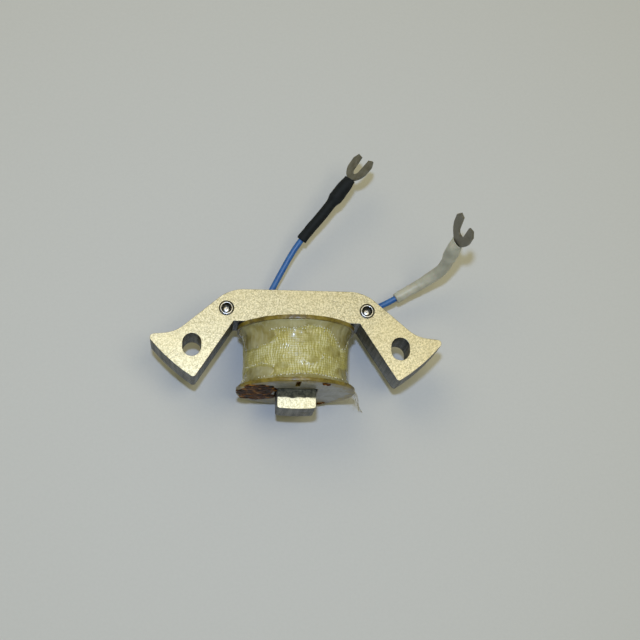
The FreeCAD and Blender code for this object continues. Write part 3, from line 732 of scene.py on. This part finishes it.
def sleeve_path(side):
    """The sleeve's centreline in mm: from midway along its run to the mouth of the barrel."""
    route = [Vector(point) for point in ROUTES[side]]
    start = (route[SLEEVE_RUN[side]] + route[SLEEVE_RUN[side] + 1]) / 2
    line = route_points(side)
    first = min(range(len(line)), key=lambda index: (line[index] - start).length)
    heading = (route[-1] - route[-2]).normalized()
    steps = 26
    return line[first:] + [route[-1] + heading * BARREL_LENGTH * k / steps for k in range(1, steps + 1)]


def tube_rings(path, width_direction, outer, inner, flatten, segments=40):
    """A hollow tube along a path in mm. The radii and the flattening are functions of the distance
    from the start and from the end; the flattening is across width_direction."""
    lengths = [0.0]
    for before, here in zip(path, path[1:]):
        lengths.append(lengths[-1] + (here - before).length)
    whole = lengths[-1]
    rings = []
    for radius_at, order in ((outer, range(len(path))), (inner, reversed(range(len(path))))):
        for index in order:
            ahead = path[min(index + 1, len(path) - 1)] - path[max(index - 1, 0)]
            ahead.normalize()
            wide = (width_direction - ahead * width_direction.dot(ahead)).normalized()
            thick = ahead.cross(wide)
            done, left = lengths[index], whole - lengths[index]
            squeeze = flatten(left)
            for k in range(segments):
                turn = 2 * math.pi * k / segments
                radius = radius_at(done, left, turn)
                rings.append((path[index] + (wide * math.cos(turn) * (1 + 0.12 * squeeze)
                                             + thick * math.sin(turn) * (1 - squeeze)) * radius) * MM)
    return rings, grid_faces(2 * len(path), segments, wrap_rows=True, wrap_columns=True)


def heat_shrink_material():
    shrink = Surface("heat_shrink", Specular_IOR_Level=0.2)
    skin = shrink.noise(700, detail=4, rough=0.6)
    dust = shrink.noise(2600, detail=2)
    colour = shrink.mix(shrink.between(skin, 0.3, 0.7), (0.007, 0.009, 0.010, 1), (0.015, 0.019, 0.020, 1))
    dusty = shrink.between(dust, 0.68, 0.82, 0, 0.25)
    shrink.set("Base Color", shrink.mix(dusty, colour, (0.07, 0.08, 0.08, 1)))
    shrink.set("Roughness", shrink.between(skin, 0.3, 0.7, 0.60, 0.78))
    shrink.set("Normal", shrink.bump(skin, 0.25, 0.12 * MM))
    return shrink.material


def marker_material():
    tube = Surface("marker_tube", Roughness=0.42, Subsurface_Weight=0.06, Subsurface_Scale=0.6 * MM)
    haze = tube.noise(260, detail=3)
    grime = tube.noise(1300, detail=4, rough=0.65)
    colour = tube.mix(tube.between(haze, 0.3, 0.7), (0.46, 0.455, 0.36, 1), (0.58, 0.57, 0.46, 1))
    tube.set("Base Color", tube.mix(tube.between(grime, 0.6, 0.8, 0, 0.4), colour, (0.34, 0.33, 0.27, 1)))
    tube.set("Normal", tube.bump(haze, 0.3, 0.3 * MM))
    return tube.material


def build_sleeves():
    """A heat-shrink sleeve on the left lead and a plain white marker sleeve on the right one."""
    shapes = {           # radius on the lead, on the barrel, growth, pinch at the mouth, wall, material, seed
        "left": (1.98, 2.66, 0.0, 0.26, 0.42, heat_shrink_material(), 2.0),
        "right": (1.86, 2.66, 0.40, 0.50, 0.40, marker_material(), 8.0),
    }
    made = {}
    for side, (narrow, wide, growth, pinch, wall, material, seed) in shapes.items():
        path = sleeve_path(side)
        swell_ends = BARREL_LENGTH + 0.3

        def outer(done, left, turn):
            share = smoothstep(swell_ends + 2.2, swell_ends - 1.0, left)
            grown = growth * min(1.0, done / 16)
            radius = narrow + grown + (wide - narrow - growth) * share
            radius += 0.10 * math.exp(-(left / 0.5) ** 2) - 0.14 * math.exp(-((left - 1.6) / 1.5) ** 2)
            spot = Vector((done / 3.2, 1.1 * math.cos(turn), 1.1 * math.sin(turn)))
            dent = noise.noise(spot + Vector((seed, 0, 0)))
            ripple = noise.noise(Vector((done / 1.1, math.cos(turn), math.sin(turn) + seed)))
            soft_ends = 0.12 * math.exp(-(min(done, left) / 0.15) ** 2)
            return radius + 0.13 * dent + 0.04 * ripple - soft_ends

        def inner(done, left, turn):
            share = smoothstep(swell_ends + 2.2, swell_ends - 1.0, left)
            lead_hug = LEAD_DIAMETER / 2 / MM + 0.03
            return lead_hug + (wide - wall - lead_hug) * share

        def flatten(left):
            return 0.12 * math.exp(-(left / 3.0) ** 2) + pinch * math.exp(-(left / 1.3) ** 2)

        rings, faces = tube_rings(path, FORK_WIDTH_DIRECTION[side], outer, inner, flatten)
        name = {"left": "shrink_sleeve", "right": "white_sleeve"}[side]
        made[side] = link(mesh_object(name, rings, faces), material, SLEEVE_NODE[side])
    return made


def terminal_material():
    tin = Surface("terminal_tin", Metallic=0.85, Roughness=0.46)
    patina = tin.noise(420, detail=4, rough=0.6)
    fine = tin.noise(2400, detail=3)
    worn = tin.node("ShaderNodeNewGeometry").outputs["Pointiness"]
    colour = tin.mix(tin.between(patina, 0.3, 0.7), (0.27, 0.265, 0.225, 1), (0.47, 0.465, 0.41, 1))
    colour = tin.mix(tin.between(fine, 0.55, 0.8, 0, 0.5), colour, (0.62, 0.61, 0.55, 1))
    tin.set("Base Color", tin.mix(tin.between(worn, 0.53, 0.6, 0, 0.5), colour, (0.16, 0.14, 0.10, 1)))
    tin.set("Roughness", tin.between(patina, 0.3, 0.7, 0.40, 0.58))
    tin.set("Normal", tin.bump(fine, 0.3, 0.04 * MM))
    return tin.material


def build_forks():
    material = terminal_material()
    made = {}
    for side in ROUTES:
        node = "fork_terminal_" + side
        made[side] = ease_edges(copy_of_node(node, "spade_fork_" + side), 0.14 * MM, segments=3)
        link(made[side], material, node, smooth=False)
    return made


def insulation_material():
    jacket = Surface("lead_insulation", Roughness=0.36)
    scuff = jacket.noise(500, detail=4, rough=0.6)
    long_marks = jacket.noise(1500, detail=3)
    colour = jacket.mix(jacket.between(scuff, 0.35, 0.7), (0.022, 0.115, 0.37, 1), (0.040, 0.165, 0.44, 1))
    jacket.set("Base Color", jacket.mix(jacket.between(long_marks, 0.62, 0.8, 0, 0.35), colour,
                                        (0.10, 0.22, 0.50, 1)))
    jacket.set("Roughness", jacket.between(scuff, 0.3, 0.7, 0.30, 0.46))
    jacket.set("Normal", jacket.bump(scuff, 0.2, 0.1 * MM))
    return jacket.material


def build_leads(sleeves, forks):
    material = insulation_material()
    for side, points in ROUTES.items():
        lead = nurbs("lead_wire_" + side, points, LEAD_DIAMETER / 2)
        lead.data.materials.append(material)
        scene.collection.objects.link(lead)
        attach(lead, BODY)
        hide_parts("lead_" + side)


# ------------------------------------------------------------------ frayed cloth
def build_fibres():
    """Loose glass fibres at the right end of the front flange, two of them long."""
    strand = Surface("loose_fibre", Roughness=0.5)
    shade = strand.noise(600, detail=2)
    strand.set("Base Color", strand.mix(strand.between(shade, 0.3, 0.7), (0.38, 0.33, 0.20, 1),
                                        (0.60, 0.55, 0.40, 1)))
    draw = random.Random(12)
    ends = [((20.7, -15.2, 11.0), (22.6, -16.6, -1.0), (26.8, -18.1, -13.8)),
            ((20.9, -15.0, 8.0), (23.8, -15.0, 0.5), (24.9, -18.4, -9.0)),
            ((20.3, -15.3, 14.0), (22.9, -15.6, 7.0), (23.6, -17.0, 1.0)),
            ((21.0, -14.6, 6.0), (22.2, -16.4, 1.0), (22.0, -17.8, -3.0))]
    ends += [((21.2 * math.cos(a), -15.0, COIL_Z / MM + 21.2 * math.sin(a)),
              (22.0 * math.cos(a), -15.9, COIL_Z / MM + 21.4 * math.sin(a)),
              (22.3 * math.cos(a - 0.1), -16.6 - draw.random(), COIL_Z / MM + 21.6 * math.sin(a - 0.1)))
             for a in (0.25, 0.1, -0.05, -0.2, -0.35)]
    for number, (start, middle, end) in enumerate(ends, start=1):
        steps = 18
        path = []
        for k in range(steps + 1):
            share = k / steps
            first, second = Vector(start).lerp(Vector(middle), share), Vector(middle).lerp(Vector(end), share)
            along = first.lerp(second, share)
            path.append(along + Vector((0.10, 0.08, 0.06)) * bumpy(along, 1.6, number))
        thick = 0.11 if number <= 2 else 0.07
        rings, faces = tube_rings(path, Vector((1, 0.2, 0.1)),
                                  lambda done, left, turn: thick * (0.4 + 0.6 * min(1, left)),
                                  lambda done, left, turn: 0.01, lambda left: 0.0, segments=7)
        piece = link(mesh_object("loose_fibre_%d" % number, rings, faces), strand.material)


# ------------------------------------------------------------------ pieces kept from the frame
def plain_material(name, dark, light, scale, roughness, metallic=0.0, stretch=(1, 1, 1)):
    made = Surface(name, Roughness=roughness, Metallic=metallic)
    grain = made.noise(scale, detail=4, rough=0.6, source=made.stretched(stretch))
    made.set("Base Color", made.mix(made.between(grain, 0.3, 0.7), dark + (1,), light + (1,)))
    made.set("Normal", made.bump(grain, 0.35, 0.08 * MM))
    return made.material


def finish_kept_nodes():
    materials = {
        "enamelled_wire": plain_material("enamelled_wire", (0.22, 0.06, 0.015), (0.50, 0.20, 0.06), 2600, 0.3,
                                         0.4, (1, 5, 1)),
        "insulating_paper": plain_material("insulating_paper", (0.36, 0.26, 0.12), (0.55, 0.44, 0.24),
                                           700, 0.8),
        "wedge_fibre": plain_material("wedge_fibre", (0.16, 0.08, 0.035), (0.30, 0.17, 0.08), 600, 0.75),
        "flange_board": plain_material("tube_board", (0.10, 0.06, 0.015), (0.27, 0.19, 0.06), 500, 0.5),
        "solder": plain_material("solder", (0.35, 0.35, 0.34), (0.62, 0.62, 0.60), 900, 0.35, 0.9),
        "sleeving": plain_material("sleeving", (0.36, 0.30, 0.14), (0.60, 0.54, 0.32), 1500, 0.6),
        "copper_strands": plain_material("copper_strands", (0.45, 0.17, 0.07), (0.72, 0.36, 0.18),
                                         1800, 0.35, 1.0),
    }
    for part in frame["record"]["subparts"]:
        material = materials.get(part["material_slot"])
        if material and not frame["nodes"][part["node"]].hide_render:
            for slot in frame["nodes"][part["node"]].material_slots:
                slot.material = material


# ------------------------------------------------------------------ setting
def build_stage():
    floor = mesh_object("floor", [(-2, -2, FLOOR_Z), (2, -2, FLOOR_Z), (2, 2, FLOOR_Z), (-2, 2, FLOOR_Z)],
                        [(0, 1, 2, 3)])
    paper = Surface("paper", Roughness=0.9, Specular_IOR_Level=0.2)
    fibre = paper.noise(900, detail=4)
    paper.set("Base Color", paper.mix(fibre, (0.63, 0.64, 0.63, 1), (0.67, 0.68, 0.67, 1)))
    scene.collection.objects.link(floor)
    floor.data.materials.append(paper.material)


def area_light(name, place, target, size, power, colour):
    data = bpy.data.lights.new(name, "AREA")
    data.shape = "DISK"
    data.size = size
    data.energy = power
    data.color = colour
    light = bpy.data.objects.new(name, data)
    light.location = place
    light.rotation_euler = (Vector(target) - Vector(place)).to_track_quat("-Z", "Y").to_euler()
    scene.collection.objects.link(light)


def build_lights():
    """A small bluish flash just above the lens, a warm lamp high on the left, a bright patch of ceiling
    and a warm dim room."""
    area_light("flash", (-0.045, -0.035, 0.53), (0, 0.01, 0), 0.03, 1.25, (0.52, 0.66, 1.0))
    area_light("room_lamp", (-0.38, 0.50, 1.08), (0, 0, 0), 0.78, 2.5, (1.0, 0.85, 0.50))
    area_light("ceiling", (0.32, -0.05, 1.2), (0.02, 0, 0), 0.62, 3.4, (1.0, 0.91, 0.66))
    world = bpy.data.worlds.new("room")
    world.use_nodes = True
    world.node_tree.nodes["Background"].inputs["Color"].default_value = (1.0, 0.98, 0.62, 1)
    world.node_tree.nodes["Background"].inputs["Strength"].default_value = 0.195
    scene.world = world
    scene.view_settings.view_transform = "Standard"


add_camera()
build_stage()
build_lights()
build_core()
build_rivets()
board = board_material()
build_flange("front_flange", "flange_front", board, 2.0)
build_flange("rear_flange", "flange_rear", board, 6.0)
build_varnish(varnish_material())
build_wrap()
build_selvedges()
build_fibres()
build_leads(build_sleeves(), build_forks())
finish_kept_nodes()
